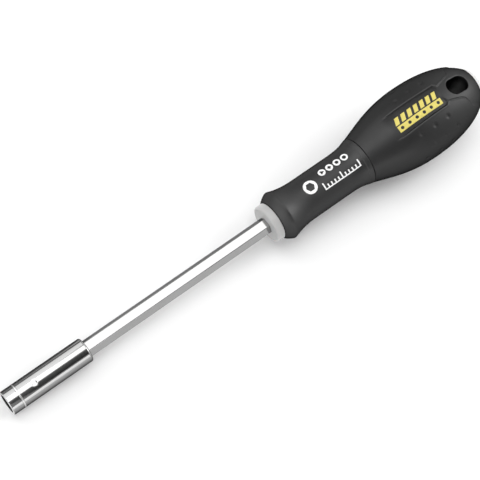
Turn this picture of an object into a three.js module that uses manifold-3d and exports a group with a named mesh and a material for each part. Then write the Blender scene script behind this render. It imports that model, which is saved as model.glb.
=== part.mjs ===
// A screwdriver that holds quarter-inch hexagon bits: a chromed hexagon blade with a magnetic
// bit socket on its front end, and a handle of a hard core and soft grips moulded round its tang.
// Millimetres. +X runs along the tool from the bit to the butt of the handle, and +Z is up,
// with a label panel on top. The origin is the middle of the bit seat, the magnet face on which
// the tail of a bit rests.
import * as THREE from "three";
import { mergeVertices } from "three/addons/utils/BufferGeometryUtils.js";
import Module from "manifold-3d";

// Fits
const fitGap = 0.1; // between pieces that are pressed, glued or moulded together
const hexPlay = 0.05; // between the hexagon bar and each flat of the socket's bore
const ringPlay = 0.08; // round the loose spring ring

// Blade
const hexFlats = 6.35; // quarter-inch hexagon bar, across flats
const hexCornerRound = 0.4;
const bladeReach = 125; // from the socket's mouth to the collar's face
const tangLength = 76; // from the collar's face into the handle
const tailChamfer = 1.4;
const frontChamfer = 0.4;
const wingSpan = 11.5; // tip to tip of the two wings pressed out of the tang
const wingThickness = 2.2;
const wingLength = 13;
const wingSlope = 3; // length over which a wing rises out of the bar
const wingFromTail = 9;

// Bit socket
const bitDepth = 10.6; // from the mouth to the bit seat
const socketLength = 37;
const socketDiameter = 10.4;
const socketFrontRound = 0.5;
const socketRearRound = 1;
const boreCornerRound = 0.2;
const leadIn = 0.7; // depth and width of the bore's conical mouth
const mouthMargin = 0.23; // how far that mouth spreads beyond the bore's corners
const crimpFromMouth = 12.3;
const crimpRoll = THREE.MathUtils.degToRad(6); // from +Z towards -Y
const crimpLength = 2.8; // along the tool
const crimpWidth = 3.6; // round the tool
const crimpDepth = 0.5;
const crimpBite = 0.3; // how far the wall is pressed into the blade

// Spring ring
const ringFromMouth = 5.2;
const ringWidth = 0.7; // of its flat wire along the tool
const ringHeight = 1.5; // of that wire from its inside to its outside
const ringEdge = 0.15;
const ringBite = 0.12; // how far the wire stands into the corners of the bore
const ringOpening = THREE.MathUtils.degToRad(36);

// Magnet
const magnetDiameter = 4.5;
const magnetLength = 5;
const magnetStand = 0.3; // how far the magnet stands out of the blade's end
const magnetEdge = 0.3;

// Collar and core
const collarDiameter = 16.2;
const collarThickness = 3.9;
const collarFace = 11.6; // diameter of the flat in front
const collarRound = 2.7; // from that flat over to the collar's side
const collarLead = 0.5; // first stretch of the round
const collarSlope = 1.4; // rise of that stretch
const collarCrown = 1.5; // level stretch at its end
const neckWall = 2.7; // soft wall over the core's barrel
const palmWall = 3; // soft wall over the core's swell
const ribCount = 4;
const ribHeight = 0.9;
const ribWidth = 2;
const ribFromEnds = 7; // from each end of the neck grip

// Neck grip
const neckLength = 46.2; // from the collar to the seam
const neckFrontDiameter = 16.8;
const flareDiameter = 22;
const flareRound = 3.7; // from the front face to the crest of the flare
const flareLead = 1; // first stretch of the front face
const flareSlope = 1.2; // rise of that stretch
const flareCrown = 0.9; // level stretch on each side of the crest
const flareFall = 13; // from the crest down to the waist
const flareHollow = 8.5; // level stretch in front of the waist
const waistDiameter = 18.3;
const waistRise = 10.6; // from the waist up to the seam
const waistLead = 4; // level stretch at the start of that rise
const seamDiameter = 21.4;
const seamLead = 8; // length of the slope that runs through the seam
const seamClimb = 2.4; // climb of that slope
const seamGap = 0.4;
const seamEdge = 0.3;

// Palm grip
const palmRise = 30.4; // from the seam to the widest place
const palmDiameter = 34;
const palmSwell = 14; // length of the level stretch in front of the widest place
const palmTail = 34; // from the widest place to where its round tail would close
const tailFullness = 2.2; // power of that round: 2 is an ellipse, and more is fuller
const panelLength = 29.3;
const panelWidth = 11.6;
const panelRearWidth = 10.8;
const panelCorner = 1.8;
const panelDepth = 0.6;
const panelFade = 8; // the panel deepens over this length at its front end
const runOut = 0.06; // how far outside the skin a recess's floor runs where it ends
const panelToHole = 2.5;
const holeLength = 11;
const holeWidth = 7.2;
const holeLining = 1.5; // soft wall of the hanging hole inside the core
const landMargin = 3; // width of the sunk land round the hanging hole
const landDepth = 0.35;
const bandLength = 9.2; // the butt is sunk as deep as the land over this length
const padEdge = 0.5; // length of the step down to the butt
const dimpleDiameter = 2.1;
const dimpleDepth = 0.35;
const dimplePitch = 7.05; // along a row; each second row is shifted by half of it
const dimpleFromSeam = 23.3;
const dimpleToStep = 9; // from the last dimple to the step down to the butt, at least
const dimpleRows = 6; // on each side
const firstRow = THREE.MathUtils.degToRad(32.5); // from the middle of the panel

// End cap
const capDiameter = 15.6;
const capLip = 0.5; // flat edge of the grip round the cap
const capSeat = 1.3; // depth of the cap in the grip
const capDome = 3.8;
const capWeb = 2; // core left between the hanging hole and the cap

// Facets
const handleSides = 40;
const steelSides = 36;
const crimpSides = 16;
const dimpleSides = 9;
const curveSteps = 7;
const innerSteps = 4;
const cornerSteps = 2;

// Radii that several pieces share
const socketRadius = socketDiameter / 2;
const boreFlats = hexFlats + 2 * hexPlay;
const boreCorner = boreFlats / 2 / Math.cos(Math.PI / 6);
const ringInner = boreCorner - ringBite;
const collarRadius = collarDiameter / 2;
const waistRadius = waistDiameter / 2;
const barrelRadius = waistRadius - neckWall;
const seamRadius = seamDiameter / 2;
const palmRadius = palmDiameter / 2;
const capRadius = capDiameter / 2;
const lipRadius = capRadius + capLip;

// Places along the tool, from the bit seat at x = 0
const mouthX = -bitDepth;
const socketEndX = mouthX + socketLength;
const ringX = mouthX + ringFromMouth;
const crimpX = mouthX + crimpFromMouth;
const collarX = mouthX + bladeReach;
const bladeEndX = collarX + tangLength;
const neckX = collarX + collarThickness;
const seamX = neckX + neckLength;
const neckEndX = seamX - seamGap / 2;
const palmStartX = seamX + seamGap / 2;
const palmX = seamX + palmRise;
const tailAngle = (radius) => Math.asin((radius / palmRadius) ** (tailFullness / 2));
const tailX = (angle) => palmX + palmTail * Math.cos(angle) ** (2 / tailFullness);
const tailRadius = (angle) => palmRadius * Math.sin(angle) ** (2 / tailFullness);
const angleAt = (x) => Math.acos(((x - palmX) / palmTail) ** (tailFullness / 2));
const lipX = tailX(tailAngle(lipRadius + landDepth));
const bandX = lipX - bandLength;
const capSeatX = lipX - capSeat;
const coreEndX = capSeatX - fitGap;
const holeX = coreEndX - capWeb - fitGap - holeLining - holeLength / 2;
const panelEndX = holeX - holeLength / 2 - panelToHole;
const panelStartX = panelEndX - panelLength;

const wasm = await Module();
wasm.setup();

// A closed geometry as a solid that can be cut and joined
function solid(geometry) {
  geometry.deleteAttribute("normal");
  geometry.deleteAttribute("uv");
  const merged = mergeVertices(geometry);
  const vertProperties = Float32Array.from(merged.attributes.position.array);
  const triVerts = Uint32Array.from(merged.index.array);
  return new wasm.Manifold(new wasm.Mesh({ numProp: 3, vertProperties, triVerts }));
}

// A solid turned about the tool's axis from points of x and radius
function turned(points, sides) {
  const apart = points.filter((p, i) => i === 0 || p.distanceTo(points[i - 1]) > 1e-6);
  const profile = apart.map((p) => new THREE.Vector2(p.y, p.x));
  return solid(new THREE.LatheGeometry(profile, sides).rotateZ(-Math.PI / 2));
}

// A shape in y and z carried along the tool
function prismX(shape, from, to) {
  const options = { depth: to - from, bevelEnabled: false, curveSegments: cornerSteps };
  const geometry = new THREE.ExtrudeGeometry(shape, options).translate(0, 0, from);
  const toTool = new THREE.Matrix4().set(0, 0, 1, 0, 1, 0, 0, 0, 0, 1, 0, 0, 0, 0, 0, 1);
  return solid(geometry.applyMatrix4(toTool));
}

// A shape in x and y carried up through the tool, as far above the axis as below it
function prismZ(shape, halfHeight) {
  const options = { depth: 2 * halfHeight, bevelEnabled: false, curveSegments: curveSteps };
  return solid(new THREE.ExtrudeGeometry(shape, options).translate(0, 0, -halfHeight));
}

const at = (x, radius) => new THREE.Vector2(x, radius);

// The quarter round of the given size on an outer edge, at the front or the rear end of a turned piece
function frontRound(edgeX, radius, size) {
  const arc = new THREE.EllipseCurve(edgeX + size, radius - size, size, size, Math.PI, Math.PI / 2, true);
  return arc.getPoints(2 * cornerSteps);
}

function rearRound(edgeX, radius, size) {
  const arc = new THREE.EllipseCurve(edgeX - size, radius - size, size, size, Math.PI / 2, 0, true);
  return arc.getPoints(2 * cornerSteps);
}

function bend(start, lead, trail, end, steps = curveSteps) {
  return new THREE.CubicBezierCurve(start, lead, trail, end).getPoints(steps);
}

// A hexagon with flats above and below the axis and round corners
function hexagon(flats, cornerRound) {
  const shape = new THREE.Shape();
  const reach = (flats / 2 - cornerRound) / Math.cos(Math.PI / 6);
  for (let corner = 0; corner < 6; corner += 1) {
    const angle = (corner * Math.PI) / 3;
    const y = reach * Math.cos(angle);
    const z = reach * Math.sin(angle);
    shape.absarc(y, z, cornerRound, angle - Math.PI / 6, angle + Math.PI / 6);
  }
  return shape;
}

// The two opposite crimps, as egg-shaped solids of the given half sizes
function crimps(distance, halfLength, halfWidth, halfDepth) {
  const above = new THREE.SphereGeometry(1, crimpSides, crimpSides / 2);
  above.scale(halfLength, halfWidth, halfDepth).translate(crimpX, 0, distance).rotateX(crimpRoll);
  const below = above.clone().rotateX(Math.PI);
  return solid(above).add(solid(below));
}

// The wings' outline from above, grown by a gap
function wings(grow) {
  const rear = bladeEndX - wingFromTail + grow;
  const front = rear - wingLength - 2 * grow;
  const tip = wingSpan / 2 + grow;
  const shape = new THREE.Shape();
  shape.moveTo(front, 0);
  shape.lineTo(front + wingSlope, -tip);
  shape.lineTo(rear - wingSlope, -tip);
  shape.lineTo(rear, 0);
  shape.lineTo(rear - wingSlope, tip);
  shape.lineTo(front + wingSlope, tip);
  return prismZ(shape, wingThickness / 2 + grow);
}

function blade() {
  const frontX = magnetStand;
  const corner = hexFlats / 2 / Math.cos(Math.PI / 6);
  const bar = prismX(hexagon(hexFlats, hexCornerRound), frontX, bladeEndX);
  const ends = turned([
    at(frontX, 0),
    at(frontX, corner - frontChamfer),
    at(frontX + frontChamfer, corner),
    at(bladeEndX - tailChamfer, corner),
    at(bladeEndX, corner - tailChamfer),
    at(bladeEndX, 0),
  ], steelSides);
  const pocketRadius = magnetDiameter / 2 + fitGap;
  const pocket = turned([
    at(frontX - fitGap, 0),
    at(frontX - fitGap, pocketRadius),
    at(magnetLength + fitGap, pocketRadius),
    at(magnetLength + fitGap, 0),
  ], steelSides);
  const bite = crimpBite + fitGap;
  const notches = crimps(boreFlats / 2, crimpLength / 2 + fitGap, crimpWidth / 2 + fitGap, bite);
  return bar.intersect(ends).add(wings(0)).subtract(pocket).subtract(notches);
}

function bitSocket() {
  const grooveFloor = ringInner - ringPlay;
  const grooveHalf = ringWidth / 2 + ringPlay;
  const sleeve = turned([
    at(mouthX, 0),
    ...frontRound(mouthX, socketRadius, socketFrontRound),
    at(ringX - grooveHalf, socketRadius),
    at(ringX - grooveHalf, grooveFloor),
    at(ringX + grooveHalf, grooveFloor),
    at(ringX + grooveHalf, socketRadius),
    ...rearRound(socketEndX, socketRadius, socketRearRound),
    at(socketEndX, 0),
  ], steelSides);
  const bore = prismX(hexagon(boreFlats, boreCornerRound), mouthX - fitGap, socketEndX + fitGap);
  const mouthRadius = boreCorner + mouthMargin;
  const mouth = turned([
    at(mouthX - fitGap, 0),
    at(mouthX - fitGap, mouthRadius + fitGap),
    at(mouthX + leadIn, mouthRadius - leadIn),
    at(mouthX + leadIn, 0),
  ], steelSides);
  const nubs = crimps(boreFlats / 2, crimpLength / 2, crimpWidth / 2, crimpBite);
  const dimples = crimps(socketRadius, crimpLength / 2, crimpWidth / 2, crimpDepth);
  return sleeve.subtract(bore).subtract(mouth).add(nubs).subtract(dimples);
}

// The open ring's middle line, with its gap turned down
class RingLine extends THREE.Curve {
  getPoint(t) {
    const radius = ringInner + ringHeight / 2;
    const angle = -Math.PI / 2 + ringOpening / 2 + t * (2 * Math.PI - ringOpening);
    return new THREE.Vector3(ringX, radius * Math.cos(angle), radius * Math.sin(angle));
  }
}

// The wire's section is a rectangle with broken edges
function retainingRing() {
  const width = ringWidth / 2;
  const height = ringHeight / 2;
  const wire = new THREE.Shape();
  wire.moveTo(width, ringEdge - height);
  wire.lineTo(width, height - ringEdge);
  wire.lineTo(width - ringEdge, height);
  wire.lineTo(ringEdge - width, height);
  wire.lineTo(-width, height - ringEdge);
  wire.lineTo(-width, ringEdge - height);
  wire.lineTo(ringEdge - width, -height);
  wire.lineTo(width - ringEdge, -height);
  const options = { steps: steelSides, extrudePath: new RingLine() };
  return solid(new THREE.ExtrudeGeometry(wire, options));
}

function magnet() {
  const radius = magnetDiameter / 2;
  return turned([
    at(0, 0),
    at(0, radius - magnetEdge),
    at(magnetEdge, radius),
    at(magnetLength - magnetEdge, radius),
    at(magnetLength, radius - magnetEdge),
    at(magnetLength, 0),
  ], steelSides);
}

// A stretch of the palm's round tail
function tail(fromX, toX, steps) {
  const points = [];
  for (let step = 0; step <= steps; step += 1) {
    const angle = THREE.MathUtils.lerp(angleAt(fromX), angleAt(toX), step / steps);
    points.push(at(tailX(angle), tailRadius(angle)));
  }
  return points;
}

// The palm's outline from the seam to the given x behind the step of the butt, with its radius
// reduced by an inset that may vary along the tool
function palmOutline(endX, insetAt, steps = curveSteps) {
  const start = at(seamX, seamRadius);
  const lead = at(seamX + seamLead, seamRadius + seamClimb);
  const swell = bend(start, lead, at(palmX - palmSwell, palmRadius), at(palmX, palmRadius), steps);
  const tailSteps = Math.ceil(steps / 2);
  const pads = tail(palmX, bandX, tailSteps);
  const band = tail(bandX + padEdge, endX, tailSteps);
  return [...swell, ...pads, ...band].map((p) => at(p.x, p.y - insetAt(p.x)));
}

const onBand = (x) => x > bandX + padEdge / 2;

// The core's swell inside the palm grip, grown by a gap
function swellOutline(grow) {
  const outline = palmOutline(coreEndX + grow, () => palmWall - grow, innerSteps);
  return outline.map((p) => at(Math.max(p.x, palmStartX), p.y));
}

function slot(grow) {
  const radius = holeWidth / 2 + grow;
  const reach = (holeLength - holeWidth) / 2;
  const shape = new THREE.Shape();
  shape.absarc(holeX + reach, 0, radius, -Math.PI / 2, Math.PI / 2);
  shape.absarc(holeX - reach, 0, radius, Math.PI / 2, (3 * Math.PI) / 2);
  return shape;
}

// Ribs along the core's barrel that keep the neck grip from turning, grown by a gap
function ribs(grow) {
  const from = neckX + ribFromEnds - grow;
  const to = neckEndX - ribFromEnds + grow;
  const height = 2 * (barrelRadius + ribHeight + grow);
  const width = ribWidth + 2 * grow;
  const blades = [];
  for (let rib = 0; rib < ribCount / 2; rib += 1) {
    const bar = new THREE.BoxGeometry(to - from, width, height).translate((from + to) / 2, 0, 0);
    blades.push(solid(bar.rotateX((rib * 2 * Math.PI) / ribCount)));
  }
  return blades.reduce((all, bar) => all.add(bar));
}

function handleCore() {
  const face = at(collarX, collarFace / 2);
  const side = at(collarX + collarRound, collarRadius);
  const lead = at(face.x + collarLead, face.y + collarSlope);
  const body = turned([
    at(collarX, 0),
    ...bend(face, lead, at(side.x - collarCrown, side.y), side),
    at(neckX, collarRadius),
    at(neckX, barrelRadius),
    at(palmStartX, barrelRadius),
    ...swellOutline(0),
    at(coreEndX, 0),
  ], handleSides);
  const tangHole = hexagon(hexFlats + 2 * fitGap, hexCornerRound);
  const tang = prismX(tangHole, collarX - fitGap, bladeEndX + fitGap);
  const hole = prismZ(slot(holeLining + fitGap), palmRadius);
  return body.add(ribs(0)).subtract(tang).subtract(wings(fitGap)).subtract(hole);
}

function neckGrip() {
  const frontX = neckX + fitGap;
  const front = at(frontX, neckFrontDiameter / 2);
  const crest = at(neckX + flareRound, flareDiameter / 2);
  const waist = at(crest.x + flareFall, waistRadius);
  const rise = at(seamX - waistRise, waistRadius);
  const seam = at(seamX, seamRadius);
  const trail = at(seamX - seamLead / 2, seamRadius - seamClimb / 2);
  const bore = barrelRadius + fitGap;
  const outside = [
    ...bend(front, at(frontX + flareLead, front.y + flareSlope), at(crest.x - flareCrown, crest.y), crest),
    ...bend(crest, at(crest.x + flareCrown, crest.y), at(waist.x - flareHollow, waist.y), waist),
    ...bend(rise, at(rise.x + waistLead, waistRadius), trail, seam),
  ].filter((p) => p.x < neckEndX - seamEdge);
  const grip = turned([
    at(frontX, bore),
    ...outside,
    at(neckEndX - seamEdge, seamRadius),
    at(neckEndX, seamRadius - seamEdge),
    at(neckEndX, bore),
    at(frontX, bore),
  ], handleSides);
  return grip.subtract(ribs(fitGap));
}

// The label panel seen from above, with cut corners
function panelShape() {
  const front = panelWidth / 2;
  const rear = panelRearWidth / 2;
  const shape = new THREE.Shape();
  shape.moveTo(panelStartX, front - panelCorner);
  shape.lineTo(panelStartX, panelCorner - front);
  shape.lineTo(panelStartX + panelCorner, -front);
  shape.lineTo(panelEndX - panelCorner, -rear);
  shape.lineTo(panelEndX, panelCorner - rear);
  shape.lineTo(panelEndX, rear - panelCorner);
  shape.lineTo(panelEndX - panelCorner, rear);
  shape.lineTo(panelStartX + panelCorner, front);
  return shape;
}

// A shallow recess in the palm's skin, above and below, of the given outline and depth
function recess(shape, depthAt) {
  const floor = turned([at(seamX, 0), ...palmOutline(lipX, depthAt), at(lipX, 0)], handleSides);
  return prismZ(shape, palmRadius + fitGap).subtract(floor);
}

// Grip dimples in rows on both sides of the palm, each a shallow cap of a ball
function dimples() {
  const outline = palmOutline(lipX, () => 0);
  const radiusAt = (x) => {
    const next = outline.findIndex((p) => p.x >= x);
    const before = outline[next - 1];
    const share = (x - before.x) / (outline[next].x - before.x);
    return THREE.MathUtils.lerp(before.y, outline[next].y, share);
  };
  const ball = ((dimpleDiameter / 2) ** 2 + dimpleDepth ** 2) / (2 * dimpleDepth);
  const rowStep = (Math.PI - 2 * firstRow) / (dimpleRows - 1);
  const balls = [];
  for (let row = 0; row < dimpleRows; row += 1) {
    const shift = (row % 2) * (dimplePitch / 2);
    const angle = firstRow + row * rowStep;
    for (let x = seamX + dimpleFromSeam + shift; x < bandX - dimpleToStep; x += dimplePitch) {
      const cap = new THREE.SphereGeometry(ball, dimpleSides, dimpleSides - 1);
      cap.translate(x, radiusAt(x) + ball - dimpleDepth, 0);
      balls.push(solid(cap.clone().rotateX(Math.PI / 2 - angle)));
      balls.push(solid(cap.clone().rotateX(Math.PI / 2 + angle)));
    }
  }
  return balls.reduce((all, one) => all.add(one));
}

function palmGrip() {
  const sunk = (x) => (onBand(x) ? landDepth : 0);
  const skin = palmOutline(lipX, sunk).filter((p) => p.x > palmStartX + seamEdge);
  const body = turned([
    at(palmStartX, 0),
    at(palmStartX, seamRadius - seamEdge),
    at(palmStartX + seamEdge, seamRadius),
    ...skin,
    at(lipX, 0),
  ], handleSides);
  const panelFull = panelStartX + panelFade;
  const deepen = (x) => panelDepth * THREE.MathUtils.smoothstep(x, panelStartX, panelFull);
  const panel = recess(panelShape(), (x) => deepen(x) - runOut);
  const land = recess(slot(landMargin), (x) => (onBand(x) ? landDepth - runOut : landDepth));
  const outside = body.subtract(panel).subtract(land).subtract(dimples());
  const inside = turned([
    at(seamX, 0),
    at(seamX, seamRadius - palmWall + fitGap),
    ...swellOutline(fitGap),
    at(coreEndX + fitGap, capRadius + fitGap),
    at(lipX + fitGap, capRadius + fitGap),
    at(lipX + fitGap, 0),
  ], handleSides);
  const lining = prismZ(slot(holeLining), palmRadius);
  return outside.subtract(inside.subtract(lining)).subtract(prismZ(slot(0), palmRadius + fitGap));
}

function endCap() {
  const dome = new THREE.EllipseCurve(lipX, 0, capDome, capRadius, Math.PI / 2, 0, true);
  return turned([
    at(capSeatX + fitGap, 0),
    at(capSeatX + fitGap, capRadius),
    ...dome.getPoints(curveSteps),
  ], handleSides);
}

const chrome = { color: 0xd9dbdd, roughness: 0.16, metalness: 1 };
const springSteel = { color: 0xc4c6c8, roughness: 0.25, metalness: 1 };
const nickel = { color: 0xb9b7b0, roughness: 0.3, metalness: 1 };
const softBlack = { color: 0x2b2b2d, roughness: 0.62, metalness: 0 };
const neckBlack = { color: 0x303032, roughness: 0.55, metalness: 0 };
const paleGrey = { color: 0xb4b5b4, roughness: 0.42, metalness: 0 };
const capGrey = { color: 0xd2d3d2, roughness: 0.4, metalness: 0 };

function piece(name, body, look) {
  const { vertProperties, triVerts } = body.getMesh();
  const geometry = new THREE.BufferGeometry();
  geometry.setAttribute("position", new THREE.BufferAttribute(vertProperties, 3));
  geometry.setIndex(new THREE.BufferAttribute(triVerts, 1));
  geometry.computeVertexNormals();
  const mesh = new THREE.Mesh(geometry, new THREE.MeshStandardMaterial(look));
  mesh.name = name;
  return mesh;
}

const screwdriver = new THREE.Group();
screwdriver.name = "bit_holder_screwdriver";
screwdriver.add(piece("blade", blade(), chrome));
screwdriver.add(piece("bit_socket", bitSocket(), chrome));
screwdriver.add(piece("retaining_ring", retainingRing(), springSteel));
screwdriver.add(piece("magnet", magnet(), nickel));
screwdriver.add(piece("handle_core", handleCore(), paleGrey));
screwdriver.add(piece("neck_grip", neckGrip(), neckBlack));
screwdriver.add(piece("palm_grip", palmGrip(), softBlack));
screwdriver.add(piece("end_cap", endCap(), capGrey));

export default screwdriver;
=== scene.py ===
import math

import bpy
import numpy as np
from mathutils import Matrix, Vector


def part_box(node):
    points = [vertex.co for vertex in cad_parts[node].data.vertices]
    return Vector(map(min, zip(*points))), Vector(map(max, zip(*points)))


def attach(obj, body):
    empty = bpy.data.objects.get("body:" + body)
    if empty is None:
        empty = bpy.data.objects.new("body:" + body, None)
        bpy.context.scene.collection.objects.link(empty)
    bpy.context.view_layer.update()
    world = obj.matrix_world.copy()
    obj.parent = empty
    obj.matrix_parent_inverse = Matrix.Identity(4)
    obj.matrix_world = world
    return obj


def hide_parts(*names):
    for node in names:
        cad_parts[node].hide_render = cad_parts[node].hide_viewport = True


# Looks for a bit holder screwdriver. Shapes are worked out in millimetres along the tool's own
# axis and become metres in surfaceMesh. Angles run from +Y through +Z, so 90 degrees is the top.
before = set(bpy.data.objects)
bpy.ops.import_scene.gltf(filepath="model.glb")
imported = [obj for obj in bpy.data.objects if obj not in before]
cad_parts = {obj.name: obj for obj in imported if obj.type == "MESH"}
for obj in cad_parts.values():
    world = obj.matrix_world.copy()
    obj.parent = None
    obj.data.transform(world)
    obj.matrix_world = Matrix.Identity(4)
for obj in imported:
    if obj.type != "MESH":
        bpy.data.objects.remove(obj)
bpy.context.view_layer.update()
mm = 0.001
# each packed grip stops this many millimetres short of the middle of the seam between them
seamGap = 0.2
print("frame loaded:", len(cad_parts), "pieces")


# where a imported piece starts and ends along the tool, and how far it reaches to the side
def reach(node):
    low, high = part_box(node)
    return low.x / mm, high.x / mm, high.y / mm


# profiles: rows of x and radius
def curve(start, lead, trail, end, count=40):
    # cubic Bezier: the four points weighted by the powers of t and s, which is 1 - t
    t = np.linspace(0, 1, count)[:, None]
    s = 1 - t
    p = np.array([start, lead, trail, end], float)
    return s ** 3 * p[0] + 3 * s ** 2 * t * p[1] + 3 * s * t ** 2 * p[2] + t ** 3 * p[3]


def arc(centreX, centreR, sizeX, sizeR, startDeg, endDeg, count=14):
    # ellipse about a centre: x by the cosine, radius by the sine
    a = np.radians(np.linspace(startDeg, endDeg, count))
    return np.stack([centreX + sizeX * np.cos(a), centreR + sizeR * np.sin(a)], 1)


def joined(*stretches):
    return np.concatenate([np.atleast_2d(np.array(s, float)) for s in stretches])


# the same outline with extra points, so that no two lie further apart than step
def dense(profile, step):
    gaps = np.hypot(*np.diff(profile, axis=0).T)
    apart = gaps > 1e-6
    profile = profile[np.concatenate([[True], apart])]
    along = np.concatenate([[0], np.cumsum(gaps[apart])])
    wanted = np.unique(np.concatenate([along, np.arange(0, along[-1], step)]).round(6))
    return np.stack([np.interp(wanted, along, profile[:, k]) for k in (0, 1)], 1)


# places from start to end, coarse apart, and closer near each spot of centre, half width and spacing
def stations(start, end, coarse, spots, samples=6000, growth=0.3):
    x = np.linspace(start, end, samples)
    spacing = np.full_like(x, coarse)
    for centre, half, fine in spots:
        outside = np.maximum(np.abs(x - centre) - half, 0)
        spacing = np.minimum(spacing, fine + growth * outside)
    count = np.concatenate([[0], np.cumsum(np.diff(x) / spacing[1:])])
    steps = int(math.ceil(count[-1]))
    return np.interp(np.linspace(0, count[-1], steps + 1), count, x)


# the first plus a share of the way to the second
def blend(first, second, share):
    return first + (second - first) * share


# from 0 at low to 1 at high, with level ends
def smooth(value, low, high):
    t = np.clip((value - low) / (high - low), 0, 1)
    return t * t * (3 - 2 * t)


# radius of a hexagon with round corners at each angle, with a flat on top
def hexRadius(angles, flats, cornerRound):
    # a flat is its distance over the cosine; a corner is where the ray leaves the corner's circle
    fromCorner = np.abs((angles + math.pi / 6) % (math.pi / 3) - math.pi / 6)
    middle = (flats / 2 - cornerRound) / math.cos(math.pi / 6)
    limit = math.atan2(cornerRound / 2, middle + cornerRound * math.cos(math.pi / 6))
    inArc = np.minimum(fromCorner, limit)
    onArc = middle * np.cos(inArc) + np.sqrt(cornerRound ** 2 - (middle * np.sin(inArc)) ** 2)
    onFlat = flats / 2 / np.cos(math.pi / 6 - fromCorner)
    return np.where(fromCorner < limit, onArc, onFlat)


# points of x, radius and angle as x, y, z
def roundTool(x, radius, angles):
    return np.stack(np.broadcast_arrays(x, radius * np.cos(angles), radius * np.sin(angles)), -1)


def evenAngles(count):
    return np.arange(count) * 2 * math.pi / count


# a profile carried round the tool in even columns
def turned(profile, columns):
    return roundTool(profile[:, :1], profile[:, 1:], evenAngles(columns))


# quads between neighbouring rows of point numbers; a row closes on itself
def ringQuads(numbers):
    after = np.roll(numbers, -1, 1)
    quads = np.stack([numbers[:-1], after[:-1], after[1:], numbers[1:]], -1)
    return quads.reshape(-1, 4)


# triangles from the first and the last row to their middles, which are the last two points
def endFans(numbers, pole):
    columns = numbers.shape[1]
    first = np.stack([np.full(columns, pole), np.roll(numbers[0], -1), numbers[0]], 1)
    last = np.stack([np.full(columns, pole + 1), numbers[-1], np.roll(numbers[-1], -1)], 1)
    return list(first) + list(last)


def addObject(name, data):
    added = bpy.data.objects.new(name, data)
    bpy.context.scene.collection.objects.link(added)
    return added


def surfaceMesh(name, points, faces, sharpDeg=35):
    mesh = bpy.data.meshes.new(name)
    mesh.from_pydata((points.reshape(-1, 3) * mm).tolist(), [], [f.tolist() for f in faces])
    mesh.validate()
    mesh.polygons.foreach_set("use_smooth", np.ones(len(mesh.polygons), bool))
    mesh.set_sharp_from_angle(angle=math.radians(sharpDeg))
    return addObject(name, mesh)


# a surface carried round the tool: rows follow the profile, columns go round
def skin(name, grid, loop=False, sharpDeg=35):
    rows, columns = grid.shape[:2]
    numbers = np.arange(rows * columns).reshape(rows, columns)
    points = grid.reshape(-1, 3)
    if loop:
        faces = list(ringQuads(np.concatenate([numbers, numbers[:1]])))
        return surfaceMesh(name, points, faces, sharpDeg)
    middles = np.stack([grid[0].mean(0), grid[-1].mean(0)])
    faces = list(ringQuads(numbers)) + endFans(numbers, len(points))
    return surfaceMesh(name, np.concatenate([points, middles]), faces, sharpDeg)


def finishPiece(piece, body, material, slot, *nodes):
    piece.data.materials.append(material)
    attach(piece, body)
    if nodes:
        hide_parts(*nodes)
    print("made", piece.name, len(piece.data.polygons), "faces")


# shader values: a socket that can be written in sums
class Shade:
    def __init__(self, tree, socket=None):
        self.tree = tree
        self.socket = socket

    # any node: its type, its settings, then the values or links of its sockets
    def node(self, kind, settings=None, inputs=None, out=0):
        made = self.tree.nodes.new("ShaderNode" + kind)
        for key, value in (settings or {}).items():
            setattr(made, key, value)
        for key, value in (inputs or {}).items():
            if isinstance(value, Shade):
                self.tree.links.new(value.socket, made.inputs[key])
            else:
                made.inputs[key].default_value = value
        return Shade(self.tree, made.outputs[out])

    def sum(self, operation, first, second):
        return self.node("Math", {"operation": operation}, {0: first, 1: second})

    def __add__(self, other):
        return self.sum("ADD", self, other)

    def __radd__(self, other):
        return self.sum("ADD", other, self)

    def __sub__(self, other):
        return self.sum("SUBTRACT", self, other)

    def __rsub__(self, other):
        return self.sum("SUBTRACT", other, self)

    def __mul__(self, other):
        return self.sum("MULTIPLY", self, other)

    def __rmul__(self, other):
        return self.sum("MULTIPLY", other, self)

    def __abs__(self):
        return self.node("Math", {"operation": "ABSOLUTE"}, {0: self})

    def axis(self, letter):
        return self.node("SeparateXYZ", None, {0: self}, letter)

    def vector(self, operation, other=(0, 0, 0), out="Value"):
        return self.node("VectorMath", {"operation": operation}, {0: self, 1: other}, out)

    # 1 for rays of this kind and 0 for others
    def ray(self, kind):
        return self.node("LightPath", None, None, kind)

    def noise(self, scale, stretch=(1, 1, 1), detail=3, rough=0.55):
        place = self.node("Mapping", {"vector_type": "POINT"}, {"Vector": self, "Scale": stretch})
        inputs = {"Vector": place, "Scale": scale, "Detail": detail, "Roughness": rough}
        return self.node("TexNoise", None, inputs)

    def between(self, low, high):
        return self.node("MapRange", None, {"Value": self, "To Min": low, "To Max": high})

    def within(self, start, end):
        return self.node("MapRange", None, {"Value": self, "From Min": start, "From Max": end})

    def mix(self, first, second):
        inputs = {"Factor": self, 6: first, 7: second}
        return self.node("Mix", {"data_type": "RGBA"}, inputs, 2)

    def bump(self, strength, depth):
        return self.node("Bump", None, {"Height": self, "Strength": strength, "Distance": depth})


def grey(value, tint=(1, 1, 1)):
    return (value * tint[0], value * tint[1], value * tint[2], 1)


# a finish: fixed numbers go on the shader's own sockets, and paint links what varies
def finish(name, fixed, paint):
    material = bpy.data.materials.new(name)
    material.use_nodes = True
    tree = material.node_tree
    shader = tree.nodes["Principled BSDF"]
    for key, value in fixed.items():
        shader.inputs[key].default_value = value
    place = Shade(tree).node("TexCoord", None, None, "Object")
    for key, value in paint(place).items():
        tree.links.new(value.socket, shader.inputs[key])
    return material


# a thin smoky film over a surface, which is darker the flatter it is looked at
def smokyFilm(tint, rough):
    return {"Coat Weight": 1, "Coat IOR": 1.01, "Coat Roughness": rough, "Coat Tint": grey(tint)}


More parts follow.
